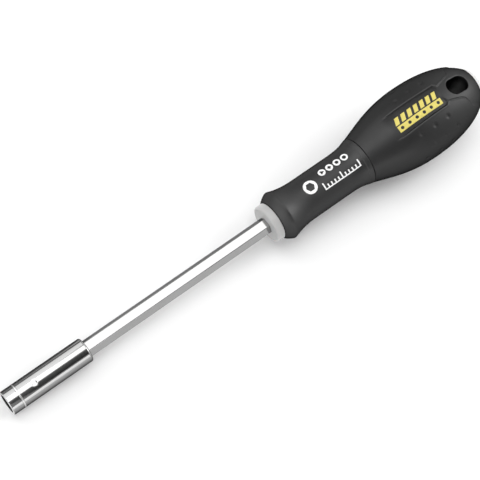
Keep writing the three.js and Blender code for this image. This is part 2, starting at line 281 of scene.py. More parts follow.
# plated steel: lines run along the stretch, and the plating is a little duller in patches
def chrome(name, look, bore=None):
    def paint(place):
        lines = place.noise(look["lineScale"], look["stretch"], 4, 0.6)
        patches = place.noise(look["patchScale"], detail=2, rough=0.5)
        share = look["patchShare"]
        haze = patches.within(0.35, 0.8) * share + lines.within(0.4, 0.8) * (1 - share)
        colour = haze.mix(grey(look["colour"]), grey(look["dull"], look["dullTint"]))
        rough = haze.between(look["rough"], look["worn"])
        painted = {}
        if bore:
            # painted shade: the bore is painted near black and rougher, where x and radius add up to more
            # than on its cone
            along = place.axis("X")
            radius = place.vector("MULTIPLY", (0, 1, 1), "Vector").vector("LENGTH")
            deep = (along + radius).within(bore["start"], bore["end"])
            inside = deep * radius.within(bore["wall"], bore["wall"] - bore["wallBlend"])
            colour = inside.mix(colour, grey(bore["colour"]))
            rough = rough + inside * bore["rough"]
            # the end face is ground and satin, with no film on it
            ground = along.within(bore["faceX"] + bore["faceBlend"], bore["faceX"]) * (1 - inside)
            colour = ground.mix(colour, grey(bore["faceColour"]))
            painted = {"Metallic": 1 - bore["faceSatin"] * ground, "Coat Weight": 1 - ground}
        scratches = lines.bump(look["scratch"], look["scratchDepth"])
        return {**painted, "Base Color": colour, "Roughness": rough, "Normal": scratches}
    fixed = {"Metallic": 1, "Specular Tint": grey(look["edge"]), **smokyFilm(look["film"], 0.1)}
    return finish(name, fixed, paint)


# soft moulded rubber: fine spark-eroded grain, cloudy colour, a little pale dust in the grain
def rubber(name, look):
    def paint(place):
        grain = place.noise(look["grainScale"], detail=2, rough=0.6)
        cloud = place.noise(look["cloudScale"], detail=3, rough=0.5)
        speck = place.noise(look["speckScale"], detail=4, rough=0.7)
        mask = speck.within(0.55, 0.85) * 0.5 + cloud.within(0.3, 0.8) * 0.5
        tone = mask.mix(grey(look["colour"], (1, 1, 1.015)), grey(look["dust"], (1, 1, 1.01)))
        sheen = (0.6 * cloud + 0.4 * grain).between(*look["rough"])
        if look["paintedLight"]:
            # painted highlight and painted light: places that the mesh marks are painted paler and made
            # smoother; the mesh carries how much
            worn = place.node("Attribute", {"attribute_name": "paintedLight"}, None, "Fac")
            tone = (worn * (0.7 + 0.6 * speck)).mix(tone, grey(look["paintedLight"]))
            sheen = sheen - worn * look["polish"]
        pits = grain.bump(look["grain"], look["grainDepth"])
        return {"Base Color": tone, "Roughness": sheen, "Normal": pits}
    return finish(name, {"Specular IOR Level": look["gloss"], **smokyFilm(look["film"], 0.4)}, paint)


# hard moulded plastic: satin skin with a slight orange peel and faint flow clouds
def plastic(name, look):
    def paint(place):
        peel = place.noise(look["peelScale"], detail=2, rough=0.5)
        flow = place.noise(look["flowScale"], look["flowStretch"], 3, 0.5).within(0.3, 0.75)
        return {
            "Base Color": flow.mix(grey(look["deep"], (1, 1, 0.99)), grey(look["colour"])),
            "Roughness": peel.between(*look["rough"]),
            "Normal": peel.bump(look["peel"], look["peelDepth"]),
        }
    fixed = {"Specular IOR Level": 0.45, "Subsurface Weight": 0.06, "Subsurface Scale": 0.002}
    return finish(name, fixed, paint)


# printed ink: a thin coat with pinholes that let a little of the ground through
def ink(name, look, colour, thin):
    def paint(place):
        pores = place.noise(look["poreScale"], detail=3, rough=0.6)
        film = place.noise(look["filmScale"], detail=2, rough=0.5)
        return {
            "Base Color": (pores.within(0.6, 0.9) * 0.5 + film.within(0.4, 0.9) * 0.5).mix(colour, thin),
            "Roughness": film.between(*look["rough"]),
            "Normal": pores.bump(look["pore"], look["poreDepth"]),
        }
    return finish(name, {"Specular IOR Level": 0.4}, paint)


# finishes; depths and places in them are in metres
chromeLook = {
    "colour": 0.88, "dull": 0.80, "dullTint": (1, 0.995, 0.985), "rough": 0.05, "worn": 0.14,
    "film": 0.5, "edge": 0.1, "lineScale": 900, "patchScale": 70, "patchShare": 0.7,
    "stretch": (0.12, 1, 1), "scratch": 0.02, "scratchDepth": 0.00002,
}
# painted shade in the bore, and the ground, satin end face
boreShadeAndFaceLook = {
    "start": -0.00672, "end": -0.00667, "wall": 0.0041, "wallBlend": 0.0002, "colour": 0.05, "rough": 0.4,
    "faceX": -0.0106, "faceBlend": 0.0003, "faceColour": 0.85, "faceSatin": 0.8,
}
rubberLook = {
    "grainScale": 5200, "cloudScale": 160, "speckScale": 1500, "grain": 0.16, "grainDepth": 0.00006,
    "gloss": 1.0, "paintedLight": 0, "polish": 0.12,
}
plasticLook = {
    "peelScale": 1400, "peel": 0.05, "peelDepth": 0.00004, "flowScale": 120, "flowStretch": (0.4, 1, 1),
    "rough": (0.30, 0.42),
}
inkLook = {"poreScale": 4200, "filmScale": 500, "pore": 0.06, "poreDepth": 0.00003, "rough": (0.32, 0.5)}
socketChrome = chrome("socket_chrome", chromeLook, boreShadeAndFaceLook)
bladeChrome = chrome("blade_chrome", {
    **chromeLook, "colour": 0.62, "dull": 0.57, "rough": 0.09, "worn": 0.22, "film": 0.67, "edge": 0.8,
    "stretch": (0.03, 1, 1), "scratch": 0.05})
springSteel = chrome("spring_steel", {
    **chromeLook, "colour": 0.9, "rough": 0.3, "worn": 0.42, "film": 0.8, "edge": 0.3,
    "stretch": (1, 0.2, 0.2), "scratch": 0.04})
magnetNickel = chrome("magnet_nickel", {
    **chromeLook, "colour": 0.62, "rough": 0.2, "worn": 0.4, "stretch": (1, 1, 1), "scratch": 0.05})
neckRubber = rubber("neck_rubber", {
    **rubberLook, "colour": 0.018, "dust": 0.028, "rough": (0.33, 0.51), "film": 0.58})
# the palm's rubber takes its painted highlights and painted light from its mesh
palmRubber = rubber("palm_rubber", {
    **rubberLook, "colour": 0.014, "dust": 0.023, "rough": (0.34, 0.52), "film": 0.51, "paintedLight": 0.5})
corePlastic = plastic("core_plastic", {**plasticLook, "colour": 0.50, "deep": 0.45})
capPlastic = plastic("cap_plastic", {**plasticLook, "colour": 0.66, "deep": 0.60})
whiteInk = ink("white_ink", inkLook, grey(0.90), grey(0.74))
yellowInk = ink("yellow_ink", inkLook, (0.70, 0.60, 0.14, 1), (0.60, 0.50, 0.11, 1))
print("finishes ready")

# chromed socket: outside, rear face, hexagon bore and wide cone at the mouth as one closed skin
socketLook = {
    "boreFlats": 6.45, "boreRound": 0.2, "mouthRadius": 3.95, "frontRound": 0.36,
    "rearRound": 0.9, "rearFace": 0.6, "grooveWidth": 0.7, "grooveFloor": 3.86, "grooveEdge": 0.04,
    "crimpFromMouth": 12.3, "crimpRoll": 6, "crimpLength": 3.1, "crimpWidth": 3.7, "crimpDepth": 0.22,
    "crimpFront": 0.7, "crimpBand": 0.3, "step": 0.22, "columns": 288,
    "tangEnd": 0.2, "tangStep": 2.0, "boreRows": 12, "boreStart": 1.6,
    "coneRows": 22, "coneStart": 1.5, "coneEnd": 0.03,
}


# depth of the two crimps: an oval bowl that is shallower towards its front
def crimpDepth(look, x, angles, radius, mouthX):
    along = (x - mouthX - look["crimpFromMouth"]) / (look["crimpLength"] / 2)
    fromTop = angles - math.pi / 2 - math.radians(look["crimpRoll"])
    around = ((fromTop + math.pi / 2) % math.pi - math.pi / 2) * radius / (look["crimpWidth"] / 2)
    bowl = np.clip(1 - along ** 2 - around ** 2, 0, 1) ** 1.5
    return look["crimpDepth"] * bowl * blend(look["crimpFront"], 1, smooth(along, -1, 0.6))


def makeSocket(look):
    startX, endX, radius = reach("bit_socket")
    ringLow, ringHigh, _ = reach("retaining_ring")
    ringX = (ringLow + ringHigh) / 2
    half = look["grooveWidth"] / 2
    edge = look["grooveEdge"]
    size = look["frontRound"]
    rear = look["rearRound"]
    outside = joined(
        (startX, look["mouthRadius"]),
        arc(startX + size, radius - size, size, size, 180, 90, 9),
        arc(ringX - half - edge, radius - edge, edge, edge, 90, 0, 5),
        (ringX - half, look["grooveFloor"]), (ringX + half, look["grooveFloor"]),
        arc(ringX + half + edge, radius - edge, edge, edge, 180, 90, 5),
        arc(endX - rear, radius - rear, rear, rear, 90, 0, 11),
        (endX, look["boreFlats"] / 2 + look["rearFace"]))
    outside = dense(outside, look["step"])
    # rows inside: round the blade, then the bit's bore from its seat at 0, then the cone to the mouth
    inside = np.concatenate([
        np.arange(endX, look["tangEnd"], -look["tangStep"]),
        np.linspace(0, startX + look["boreStart"], look["boreRows"]),
        np.linspace(startX + look["coneStart"], startX + look["coneEnd"], look["coneRows"])])
    angles = evenAngles(look["columns"])
    x = outside[:, :1]
    r = outside[:, 1:]
    r = r - crimpDepth(look, x, angles, radius, startX) * (r > radius - look["crimpBand"])
    outer = roundTool(x, r, angles)
    bore = hexRadius(angles, look["boreFlats"], look["boreRound"])
    cone = look["mouthRadius"] - (inside[:, None] - startX)
    inner = roundTool(inside[:, None], np.maximum(bore, cone), angles)
    piece = skin("bit_socket_skin", np.concatenate([outer, inner]), loop=True, sharpDeg=28)
    finishPiece(piece, "driver", socketChrome, "socket_chrome", "bit_socket")


makeSocket(socketLook)

# spring ring: a flattened wire bent to an open circle in the groove, its gap turned down
ringLook = {
    "width": 0.66, "height": 1.3, "squareness": 9, "proud": 0.12, "gapDeg": 36, "endRound": 0.25,
    "steps": 160, "sides": 36,
}


def makeRing(look):
    low, high, outer = reach("retaining_ring")
    tall = look["height"] / 2
    wide = look["width"] / 2
    middle = outer + look["proud"] - tall
    half = math.radians(look["gapDeg"]) / 2
    sweep = np.linspace(half, 2 * math.pi - half, look["steps"]) - math.pi / 2
    # near each end the wire thins out as a quarter circle
    toEnd = np.minimum(sweep - sweep[0], sweep[-1] - sweep) * middle
    size = look["endRound"]
    thin = size - np.sqrt(np.clip(size ** 2 - np.clip(size - toEnd, 0, size) ** 2, 0, None))
    # section: an ellipse whose cosine and sine are raised to less than one, which fills its corners
    around = evenAngles(look["sides"])
    power = 2 / look["squareness"]
    reachOut = np.sign(np.cos(around)) * np.abs(np.cos(around)) ** power
    reachSide = np.sign(np.sin(around)) * np.abs(np.sin(around)) ** power
    radius = middle + (tall - thin[:, None]) * reachOut
    x = (low + high) / 2 + (wide - thin[:, None]) * reachSide
    piece = skin("retaining_ring_wire", roundTool(x, radius, sweep[:, None]))
    finishPiece(piece, "ring", springSteel, "spring_steel", "retaining_ring")


makeRing(ringLook)

# hexagon blade: a drawn bar with round corners, chamfered inside the socket
bladeLook = {
    "flats": 6.35, "cornerRound": 0.42, "chamfer": 0.5, "tail": 1.4, "tailShare": 0.6,
    "arcColumns": 7, "flatColumns": (0.03, 0.5, 0.97), "step": 2.5,
}


def makeBlade(look):
    startX, endX, _ = reach("blade")
    flat = look["flats"] / 2
    size = look["cornerRound"]
    # each sixth: an arc round the corner, then points at shares of the way along the next flat
    corner = np.radians(np.linspace(-30, 30, look["arcColumns"]))
    u = (flat - size) / math.cos(math.pi / 6) + size * np.cos(corner)
    v = size * np.sin(corner)
    tips = np.arange(6)[:, None] * math.pi / 3
    y = u * np.cos(tips) - v * np.sin(tips)
    z = u * np.sin(tips) + v * np.cos(tips)
    nextY = np.roll(y[:, 0], -1)[:, None]
    nextZ = np.roll(z[:, 0], -1)[:, None]
    share = np.array(look["flatColumns"])
    y = np.concatenate([y, blend(y[:, -1:], nextY, share)], 1).ravel()
    z = np.concatenate([z, blend(z[:, -1:], nextZ, share)], 1).ravel()
    tailX = endX - look["tail"]
    between = np.arange(startX + look["chamfer"], tailX, look["step"])
    x = np.concatenate([[startX], between, [tailX, endX]])
    shrink = np.ones_like(x)
    shrink[0] = 1 - look["chamfer"] / flat
    shrink[-1] = look["tailShare"]
    grid = np.stack(np.broadcast_arrays(x[:, None], y * shrink[:, None], z * shrink[:, None]), -1)
    piece = skin("blade_bar", grid, sharpDeg=32)
    finishPiece(piece, "driver", bladeChrome, "blade_chrome", "blade")


makeBlade(bladeLook)

# magnet: a plated disc with broken edges at the bottom of the bore
magnetLook = {"edge": 0.35, "inset": 0.3, "step": 0.5, "columns": 72}


def makeMagnet(look):
    startX, endX, radius = reach("magnet")
    size = look["edge"]
    inset = look["inset"]
    profile = joined(
        (startX, inset), (startX, radius - size - inset),
        arc(startX + size, radius - size, size, size, 180, 90, 7),
        arc(endX - size, radius - size, size, size, 90, 0, 7), (endX, inset))
    piece = skin("magnet_disc", turned(dense(profile, look["step"]), look["columns"]))
    finishPiece(piece, "driver", magnetNickel, "magnet_nickel", "magnet")


makeMagnet(magnetLook)

# hard core: the collar in front of the grip and the barrel under it, with a hexagon hole for the tang
coreLook = {
    "faceSet": 1.0, "faceRadius": 7.35, "faceSink": 0.12, "creaseWidth": 0.3,
    "collarRadius": 8.35, "collarLength": 4.5, "round": 1.1, "roundLead": (0.1, 0.6), "roundTrail": 0.4,
    "rearRound": 0.35, "barrelRadius": 6.4, "holeFlats": 6.38, "holeRound": 0.45, "holeWall": 0.75,
    "holeRows": 30, "step": 0.4, "columns": 192,
}


def makeCore(look):
    collarStart = reach("handle_core")[0]
    barrelEnd = reach("palm_grip")[0] - seamGap
    radius = look["collarRadius"]
    barrel = look["barrelRadius"]
    rear = look["rearRound"]
    collarEnd = collarStart + look["collarLength"]
    startX = collarStart + look["faceSet"]
    face = look["faceRadius"]
    faceX = startX + look["faceSink"]
    holeEdge = look["holeFlats"] / 2 + look["holeWall"]
    leadX, leadR = look["roundLead"]
    # a slightly sunk face, a small crease, then a tight round over to the collar's side
    profile = joined(
        (faceX, holeEdge), (faceX, face - look["creaseWidth"]), (startX, face),
        curve((startX, face), (startX + leadX, face + leadR),
              (startX + look["roundTrail"], radius), (startX + look["round"], radius), 22),
        arc(collarEnd - rear, radius - rear, rear, rear, 90, 0, 7),
        (collarEnd, barrel), (barrelEnd, barrel), (barrelEnd, holeEdge))
    outer = turned(dense(profile, look["step"]), look["columns"])
    angles = evenAngles(look["columns"])
    hole = hexRadius(angles, look["holeFlats"], look["holeRound"])
    inner = roundTool(np.linspace(barrelEnd, faceX, look["holeRows"])[:, None], hole[None, :], angles)
    piece = skin("collar_core", np.concatenate([outer, inner]), loop=True, sharpDeg=30)
    finishPiece(piece, "driver", corePlastic, "core_plastic", "handle_core")


makeCore(coreLook)

# neck grip: flare, waist and rise to the seam, with a low raised band in front of the seam
neckLook = {
    "frontSet": 0.6, "frontRadius": 8.5, "frontLead": (1, 1.2),
    "flareX": 3.9, "flareFall": 12.2, "flareHollow": 8.0, "flareCrown": 0.6,
    "waistRadius": 9.15, "riseLength": 10.6, "riseLead": 4,
    "seamRadius": 10.7, "seamTrail": 4, "seamSlope": 0.3,
    "bandWidth": 2.0, "bandHeight": 0.12, "bandEdge": (-0.25, 0.1), "endRound": 0.22, "seamSet": 0.11,
    "bore": 6.55, "boreRows": 40, "step": 0.5, "faceStep": 0.6, "columns": 256,
}


# the neck's radius at each x: Bezier stretches joined by a straight waist
def neckOutline(look):
    startX, endX, flare = reach("neck_grip")
    startX = startX + look["frontSet"]
    low = look["frontRadius"]
    leadX, leadR = look["frontLead"]
    crestX = startX + look["flareX"]
    crown = look["flareCrown"]
    waistX = crestX + look["flareFall"]
    waist = look["waistRadius"]
    seamX = endX + seamGap
    riseX = seamX - look["riseLength"]
    seam = look["seamRadius"]
    trail = look["seamTrail"]
    front = curve((startX, low), (startX + leadX, low + leadR), (crestX - crown, flare), (crestX, flare))
    fall = curve((crestX, flare), (crestX + crown, flare),
                 (waistX - look["flareHollow"], waist), (waistX, waist))
    rise = curve((riseX, waist), (riseX + look["riseLead"], waist),
                 (seamX - trail, seam - trail * look["seamSlope"]), (seamX, seam))
    return joined(front, fall[1:], rise)


def makeNeck(look):
    startX, endX, _ = reach("neck_grip")
    startX = startX + look["frontSet"]
    endX = endX + look["seamSet"]
    bandX = endX - look["bandWidth"]
    bandLow, bandHigh = look["bandEdge"]
    line = neckOutline(look)
    size = look["endRound"]
    spots = [(startX, 0.8, 0.12), (bandX, 0.4, 0.06), (endX, 0.6, 0.1)]
    x = stations(startX, endX - size, look["step"], spots)
    band = look["bandHeight"] * smooth(x, bandX + bandLow, bandX + bandHigh)
    radius = np.interp(x, line[:, 0], line[:, 1]) + band
    # the rear edge is a quarter round down to the seam
    edge = arc(endX - size, radius[-1] - size, size, size, 84, 0, 8)
    outside = joined((startX, look["bore"]), np.stack([x, radius], 1), edge, (endX, look["bore"]))
    outer = turned(dense(outside, look["faceStep"]), look["columns"])
    inside = np.linspace(endX, startX, look["boreRows"])[1:-1]
    inner = turned(np.stack([inside, np.full_like(inside, look["bore"])], 1), look["columns"])
    piece = skin("neck_grip_skin", np.concatenate([outer, inner]), loop=True, sharpDeg=30)
    finishPiece(piece, "driver", neckRubber, "neck_rubber", "neck_grip")


makeNeck(neckLook)

# palm grip: swell and full round tail, sunk label panel, land and butt, grip dimples, hanging hole
palmLook = {
    "seamRadius": 10.7, "seamLead": 8, "seamClimb": 2.4, "widestX": 30.4, "swell": 14, "tail": 34,
    "fullness": 2.2, "endRound": 0.22, "seamSet": 0.11, "seamShares": (0.2, 0.6),
    "lipRound": 0.25, "capSeat": 1.3, "capRadius": 7.9, "seatRadii": (4, 1),
    "panelStart": 177.0, "panelEnd": 206.3, "panelHalf": 5.85, "panelRearHalf": 5.35, "panelCorner": 1.9,
    "panelDepth": 0.7, "panelFade": 7.0, "panelWall": 0.4,
    "beadHeight": 0.14, "beadOut": 0.28, "beadHalf": 0.3, "beadX": (205, 207),
    "landFront": 204.2, "landBlend": 0.45, "landBow": 0.092, "landDepth": 0.4, "landHalf": 4.0,
    "landSplay": 0.25, "landWall": 0.45,
    "buttX": 214.6, "buttBlend": 2, "buttFlare": 0.9, "buttGain": 1.6, "buttWall": 1.4,
    # these amounts paint highlights on the beads and the butt; further down, the hole's rim and wall get
    # painted light too
    "panelHighlight": 0.14, "landHighlight": 0.045, "buttHighlight": 0.08, "buttHighlightX": (211, 221), "highlightDepth": 1.5,
    "dimpleRows": (32.5, 55.5, 78.5, 101.5, 124.5, 147.5), "dimpleStart": 187.8, "dimplePitch": 7.05,
    "dimpleCount": 3, "dimpleEnd": 207, "dimpleRadius": 1.35, "dimpleDepth": 0.28,
    "holeX": 214.66, "holeLength": 11.0, "holeWidth": 7.2, "holeRim": 0.55, "rimHighlight": 0.08,
    "windowFront": 206.5, "windowRear": 222.4, "windowDeg": 27,
    "patchLoops": 16, "rimLoops": 8, "wallLoops": 14, "unpaintedLoops": 2, "litWallLoops": 4,
    "step": 0.36, "landSpot": (205.6, 1.4, 0.16), "buttSpot": (215.2, 0.8, 0.2),
    "columnStep": 1.25, "panelSpot": (70, 3.6, 0.45),
}


# the palm's radius at each x: a Bezier swell up to the widest place, then a full round whose
# x and radius shares, raised to the fullness, add up to one
def palmRadius(look, x):
    startX, _, widest = reach("palm_grip")
    seamX = startX - seamGap
    peakX = seamX + look["widestX"]
    seam = look["seamRadius"]
    swell = curve((seamX, seam), (seamX + look["seamLead"], seam + look["seamClimb"]),
                  (peakX - look["swell"], widest), (peakX, widest), 400)
    share = np.clip((x - peakX) / look["tail"], 0, 1)
    power = look["fullness"]
    tail = widest * (1 - share ** power) ** (1 / power)
    return np.where(x < peakX, np.interp(x, swell[:, 0], swell[:, 1]), tail)


# how deep the skin is sunk at each x and angle, and how much painted highlight it gets; the underside
# repeats the top
def palmField(look, x, angles):
    radius = palmRadius(look, x)
    s = np.abs(angles % math.pi - math.pi / 2) * radius
    # panel: inside its two sides, its rear edge and its cut corners, and fading in from the front
    start, end = look["panelStart"], look["panelEnd"]
    half = blend(look["panelHalf"], look["panelRearHalf"], smooth(x, start, end))
    toSide = half - s
    toRear = end - x
    toCorner = (toSide + toRear - look["panelCorner"]) / math.sqrt(2)
    inside = np.minimum(np.minimum(toSide, toRear), toCorner)
    fade = smooth(x, start, start + look["panelFade"])
    panel = look["panelDepth"] * fade * smooth(inside, 0, look["panelWall"])
    # land: bowed front edge, sides that splay and then flare round the butt
    ramp = look["landBlend"]
    front = smooth(x - look["landFront"] - look["landBow"] * s ** 2, -ramp, ramp)
    flare = look["buttGain"] * np.exp(np.clip((x - look["buttX"]) / look["buttFlare"], -20, 4))
    toLand = look["landHalf"] + look["landSplay"] * (x - end) + flare - s
    atButt = smooth(x, look["buttX"] - look["buttBlend"], look["buttX"] + look["buttBlend"])
    wall = blend(look["landWall"], look["buttWall"], atButt)
    land = look["landDepth"] * smooth(toLand, -wall / 2, wall / 2)
    depth = panel * (1 - front) + land * front
    # a low bead runs just outside the panel's sides and along the land's edge: a bell of its distance
    besidePanel = np.exp(-((inside + look["beadOut"]) / look["beadHalf"]) ** 2) * fade * (1 - front)
    besideLand = np.exp(-((toLand + look["beadOut"]) / look["beadHalf"]) ** 2) * front
    besideLand = besideLand * smooth(x, *look["beadX"])
    depth = depth - look["beadHeight"] * np.maximum(besidePanel, besideLand)
    # painted highlights: the beads beside the panel and the land, and the butt, are painted paler
    paintedLight = np.maximum(look["panelHighlight"] * besidePanel, look["landHighlight"] * besideLand)
    paintedLight = paintedLight + look["buttHighlight"] * smooth(x, *look["buttHighlightX"])
    # dimples: rows along the sides, each second row shifted by half a pitch, a soft bowl each
    fromTop = np.abs((angles - math.pi / 2 + math.pi) % (2 * math.pi) - math.pi)
    for number, row in enumerate(look["dimpleRows"]):
        shift = look["dimplePitch"] / 2 * (number % 2)
        centres = look["dimpleStart"] + shift + look["dimplePitch"] * np.arange(look["dimpleCount"])
        centres = centres[centres < look["dimpleEnd"]]
        nearest = centres[np.abs(np.asarray(x)[..., None] - centres).argmin(-1)]
        turn = np.abs(fromTop - math.radians(row))
        away = np.hypot(x - nearest, turn * radius) / look["dimpleRadius"]
        depth = depth + look["dimpleDepth"] * np.clip(1 - away ** 2, 0, 1) ** 2
    return depth, paintedLight


def palmDepth(look, x, angles):
    return palmField(look, x, angles)[0]


# height of the palm's top skin over a point of the plan; three tries settle the depth there
def palmTop(look, x, y):
    radius = palmRadius(look, x)
    depth = 0
    for _ in range(3):
        angle = np.arccos(np.clip(y / (radius - depth), -1, 1))
        depth = palmDepth(look, x, angle)
    return np.sqrt(np.clip((radius - depth) ** 2 - y ** 2, 0, None))


# outline of the hanging hole: a slot with round ends, as a distance from its middle at each bearing
def slotReach(look, bearing, grow):
    half = (look["holeLength"] - look["holeWidth"]) / 2
    size = look["holeWidth"] / 2 + grow
    c = np.abs(np.cos(bearing))
    s = np.abs(np.sin(bearing))
    onSide = size / np.maximum(s, 1e-6)
    onEnd = half * c + np.sqrt(np.clip(size ** 2 - (half * s) ** 2, 0, None))
    return np.where(onSide * c <= half, onSide, onEnd)


# columns round the palm: closer where the panel's edges run, the same in every quarter
def palmAngles(look):
    quarter = np.radians(stations(0, 90, look["columnStep"], [look["panelSpot"]]))
    upper = np.concatenate([quarter, math.pi - quarter[-2::-1]])
    return np.concatenate([upper, upper[1:-1] + math.pi])


def makePalm(look):
    startX, endX, _ = reach("palm_grip")
    startX = startX - look["seamSet"]
    size = look["endRound"]
    small = look["lipRound"]
    spots = [(startX + size, 0.5, 0.1), look["landSpot"], look["buttSpot"], (endX, 0.5, 0.08)]
    x = stations(startX + size, endX - small, look["step"], spots)
    angles = palmAngles(look)
    columns = len(angles)
    sunk = palmRadius(look, x)[:, None] - palmDepth(look, x[:, None], angles)
    outer = roundTool(x[:, None], sunk, angles)
    # ends: a flat face and a quarter round at the seam, a lip and the cap's recess at the butt
    first = np.hypot(outer[0, :, 1], outer[0, :, 2])
    last = np.hypot(outer[-1, :, 1], outer[-1, :, 2])
    face = [roundTool(np.array([[startX]]), first[None] * share, angles) for share in look["seamShares"]]
    turn = np.radians(np.linspace(0, 80, 7))[:, None]
    bend = roundTool(startX + size - size * np.cos(turn), first - size + size * np.sin(turn), angles)
    seam = np.concatenate(face + [bend])
    drop = np.radians(np.linspace(15, 90, 6))[:, None]
    lip = roundTool(endX - small + small * np.sin(drop), last - small + small * np.cos(drop), angles)
    seatX = endX - look["capSeat"]
    places = [(endX, look["capRadius"])] + [(seatX, r) for r in (look["capRadius"], *look["seatRadii"])]
    recess = [roundTool(np.array([[a]]), np.full((1, columns), b), angles) for a, b in places]
    grid = np.concatenate([seam, outer, lip] + recess)
    rows = len(grid)
    numbers = np.arange(rows * columns).reshape(rows, columns)

    # the windows above and below that the hole's own surface fills
    inRow = np.flatnonzero((x > look["windowFront"]) & (x < look["windowRear"])) + len(seam)
    inColumn = np.flatnonzero(np.abs(angles - math.pi / 2) < math.radians(look["windowDeg"]))
    r0, r1, c0, c1 = inRow[0], inRow[-1], inColumn[0], inColumn[-1]
    tall, wide = r1 - r0, c1 - c0
    atRow = [np.arange(r0, r1), np.full(wide, r1), np.arange(r1, r0, -1), np.full(wide, r0)]
    atColumn = [np.full(tall, c0), np.arange(c0, c1), np.full(tall, c1), np.arange(c1, c0, -1)]
    atRow, atColumn = np.concatenate(atRow), np.concatenate(atColumn)
    top = numbers[atRow, atColumn]
    under = numbers[atRow, (columns - atColumn) % columns]
    edge = grid[atRow, atColumn]

    # loops that run from the window's edge to the slot, over its round rim and down to the middle
    bearing = np.arctan2(edge[:, 1], edge[:, 0] - look["holeX"])
    far = np.hypot(edge[:, 1], edge[:, 0] - look["holeX"])
    rim = look["holeRim"]
    loops = []
    for share in np.linspace(0, 1, look["patchLoops"] + 1)[1:]:
        loops.append((blend(far, slotReach(look, bearing, rim), share), 0))
    for turnDeg in np.linspace(0, 90, look["rimLoops"] + 1)[1:]:
        q = math.radians(turnDeg)
        loops.append((slotReach(look, bearing, rim * (1 - math.sin(q))), rim * (1 - math.cos(q))))
    plan = []
    for away, sink in loops:
        px = look["holeX"] + away * np.cos(bearing)
        py = away * np.sin(bearing)
        plan.append(np.stack([px, py, palmTop(look, px, py) - sink], 1))
    wall = [plan[-1] * [1, 1, share] for share in np.linspace(1, -1, look["wallLoops"] + 1)[1:-1]]
    mirrored = [loop * [1, 1, -1] for loop in plan[::-1]]
    inner = np.stack(plan + wall + mirrored)
    fresh = rows * columns + np.arange(inner.shape[0] * inner.shape[1]).reshape(inner.shape[:2])
    holeFaces = ringQuads(np.concatenate([top[None], fresh, under[None]]))

    faces = ringQuads(numbers)
    cellRow = np.repeat(np.arange(rows - 1), columns)
    cellColumn = np.tile(np.arange(columns), rows - 1)
    insideRows = (cellRow >= r0) & (cellRow < r1)
    above = (cellColumn >= c0) & (cellColumn < c1)
    below = (cellColumn >= columns - c1) & (cellColumn < columns - c0)
    faces = faces[~(insideRows & (above | below))]
    middles = np.array([grid[0].mean(0), grid[-1].mean(0)])
    points = np.concatenate([grid.reshape(-1, 3), inner.reshape(-1, 3), middles])
    faces = list(faces) + list(holeFaces) + endFans(numbers, len(points) - 2)
    piece = surfaceMesh("palm_grip_skin", points, faces, 32)

    # how much painted highlight each point gets; the hole's rim gets a painted highlight too, and deeper
    # in, its wall is painted pale as painted light
    bearings = np.arctan2(points[:, 2], points[:, 1])
    onSkin = np.hypot(points[:, 1], points[:, 2]) > palmRadius(look, points[:, 0]) - look["highlightDepth"]
    paintedLight = palmField(look, points[:, 0], bearings)[1] * onSkin
    loop = np.minimum(np.arange(len(inner)), np.arange(len(inner))[::-1])
    rimStart = look["patchLoops"]
    wallStart = rimStart + look["rimLoops"]
    onRim = (loop >= rimStart) & (loop < wallStart - look["unpaintedLoops"])
    lining = look["rimHighlight"] * onRim + smooth(loop, wallStart, wallStart + look["litWallLoops"])
    hole = fresh.ravel()
    paintedLight[hole] = np.maximum(paintedLight[hole], np.repeat(lining, inner.shape[1]))
    carried = piece.data.attributes.new("paintedLight", "FLOAT", "POINT")
    carried.data.foreach_set("value", paintedLight.astype(np.float32))
    finishPiece(piece, "driver", palmRubber, "palm_rubber", "palm_grip")


makePalm(palmLook)

# end cap: a domed plug with a fine groove round its crown
capLook = {
    "groove": 4.6, "grooveDepth": 0.12, "grooveWidth": 0.35, "edge": 0.2, "inset": 0.3,
    "domeRows": 60, "step": 0.3, "columns": 160,
}


def makeCap(look):
    startX, endX, radius = reach("end_cap")
    lipX = reach("palm_grip")[1]
    edge = look["edge"]
    dome = arc(lipX, 0, endX - lipX, radius, 90, 2, look["domeRows"])
    ring = np.exp(-((dome[:, 1] - look["groove"]) / look["grooveWidth"]) ** 2)
    dome[:, 0] -= look["grooveDepth"] * ring
    profile = joined((startX, look["inset"]), (startX, radius - edge), (startX + edge, radius), dome)
    piece = skin("end_cap_dome", turned(dense(profile, look["step"]), look["columns"]))
    finishPiece(piece, "driver", capPlastic, "cap_plastic", "end_cap")


makeCap(capLook)


# printed marks: flat patches of x and distance round from the top line, laid on as a thin film
def printMark(name, patches, radiusAt, sinkAt, material, slot, film=0.03):
    points = []
    faces = []
    count = 0
    for plan, closed in patches:
        x = plan[..., 0]
        radius = radiusAt(x)
        angles = math.pi / 2 + plan[..., 1] / radius
        grid = roundTool(x, radius - sinkAt(x, angles) + film, angles)
        numbers = count + np.arange(x.size).reshape(x.shape)
        if closed:
            quads = ringQuads(numbers)
        else:
            cells = [numbers[:-1, :-1], numbers[:-1, 1:], numbers[1:, 1:], numbers[1:, :-1]]
            quads = np.stack(cells, -1).reshape(-1, 4)
        points.append(grid.reshape(-1, 3))
        faces += list(quads)
        count += x.size
    piece = surfaceMesh(name, np.concatenate(points), faces)
    # the film reaches a little below the surface that it lies on
    coat = piece.modifiers.new("film", "SOLIDIFY")
    coat.thickness = 1.5 * film * mm
    coat.offset = -1
    finishPiece(piece, "driver", material, slot)


# a four-sided patch; slant shifts its far side along x
def barPatch(x0, x1, s0, s1, slant=0, step=0.4):
    u = np.linspace(0, 1, max(3, int((x1 - x0) / step) + 1))[:, None]
    v = np.linspace(0, 1, max(3, int((s1 - s0) / step) + 1))[None, :]
    x = blend(x0, x1, u) + slant * (v - 0.5)
    return np.stack(np.broadcast_arrays(x, blend(s0, s1, v)), -1), False


